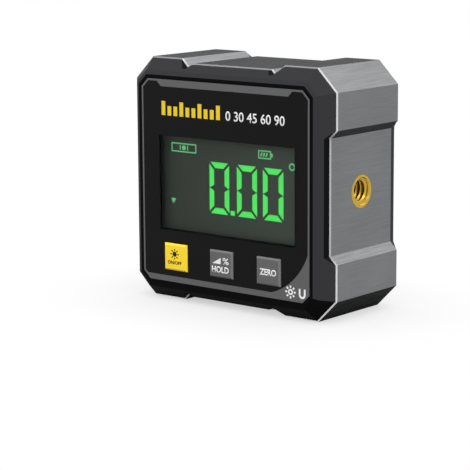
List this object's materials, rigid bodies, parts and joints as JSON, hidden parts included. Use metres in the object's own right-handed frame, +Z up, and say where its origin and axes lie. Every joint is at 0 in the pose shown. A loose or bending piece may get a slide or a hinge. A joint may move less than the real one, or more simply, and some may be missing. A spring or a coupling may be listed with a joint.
{
  "type": "digital angle gauge",
  "caption": "Compact magnetic digital angle gauge: faceted black face with a lit display and press keys, metal frame with feet on all sides, tripod thread and sliding battery door.",
  "frame": {"origin": "middle of the bounding box, on the base feet", "axes": "+Z up, the face with the display towards -Y, +X to the right seen from the front"},
  "size_m": [0.062, 0.032, 0.06],
  "materials": {
    "frame_aluminium": "brushed and grey anodised",
    "black_abs": "moulded, fine satin",
    "panel_black": "printed, satin gloss",
    "window_clear": "clear acrylic",
    "key_yellow": "moulded, satin",
    "key_grey": "moulded, satin",
    "insert_brass": "turned",
    "display_glass": "dark display glass",
    "guide_acrylic": "clear, lit from the edge",
    "strip_rubber": "soft contact rubber",
    "board_laminate": "green solder mask",
    "chip_black": "moulded epoxy",
    "plunger_red": "moulded",
    "cell_jacket": "printed film over a steel can",
    "contact_nickel": "nickel plated spring steel",
    "magnet_nickel": "nickel plated",
    "screw_steel": "zinc plated",
    "print_grey": "screen printed ink",
    "print_white": "screen printed ink",
    "print_yellow": "screen printed ink",
    "print_dark": "screen printed ink",
    "segment_green": "lit from behind"
  },
  "bodies": {
    "housing": {"body_frame": "frame_aluminium", "front_bezel": "black_abs", "rear_cover": "black_abs", "front_panel": "panel_black", "display_window": "window_clear", "thread_insert": "insert_brass", "lcd_cell": "display_glass", "light_guide": "guide_acrylic", "connector_strip": "strip_rubber", "main_board": "board_laminate", "controller_chip": "chip_black", "tilt_sensor": "chip_black", "cell_upper": "cell_jacket", "cell_lower": "cell_jacket", "contact_positive": "contact_nickel", "contact_negative": "contact_nickel", "contact_bridge": "contact_nickel", "cover_screws": "screw_steel", "board_screws": "screw_steel", "power_switch": "chip_black", "hold_switch": "chip_black", "zero_switch": "chip_black", "magnet_top_left": "magnet_nickel", "magnet_top_right": "magnet_nickel", "magnet_base_left": "magnet_nickel", "magnet_base_right": "magnet_nickel", "magnet_left_upper": "magnet_nickel", "magnet_left_lower": "magnet_nickel", "magnet_right_upper": "magnet_nickel", "magnet_right_lower": "magnet_nickel"},
    "power_key": {"power_button": "key_yellow", "power_plunger": "plunger_red"},
    "hold_key": {"hold_button": "key_grey", "hold_plunger": "plunger_red"},
    "zero_key": {"zero_button": "key_grey", "zero_plunger": "plunger_red"},
    "door": {"battery_door": "black_abs"}
  },
  "joints": [
    {"name": "power_press", "type": "slide", "parent": "housing", "child": "power_key", "axis": [0, 1, 0], "range_m": [0, 0.0005], "stiffness_N_per_m": 300, "springref_m": -0.0003},
    {"name": "hold_press", "type": "slide", "parent": "housing", "child": "hold_key", "axis": [0, 1, 0], "range_m": [0, 0.0005], "stiffness_N_per_m": 300, "springref_m": -0.0003},
    {"name": "zero_press", "type": "slide", "parent": "housing", "child": "zero_key", "axis": [0, 1, 0], "range_m": [0, 0.0005], "stiffness_N_per_m": 300, "springref_m": -0.0003},
    {"name": "battery_door_slide", "type": "slide", "parent": "housing", "child": "door", "axis": [1, 0, 0], "range_m": [0, 0.046]}
  ]
}
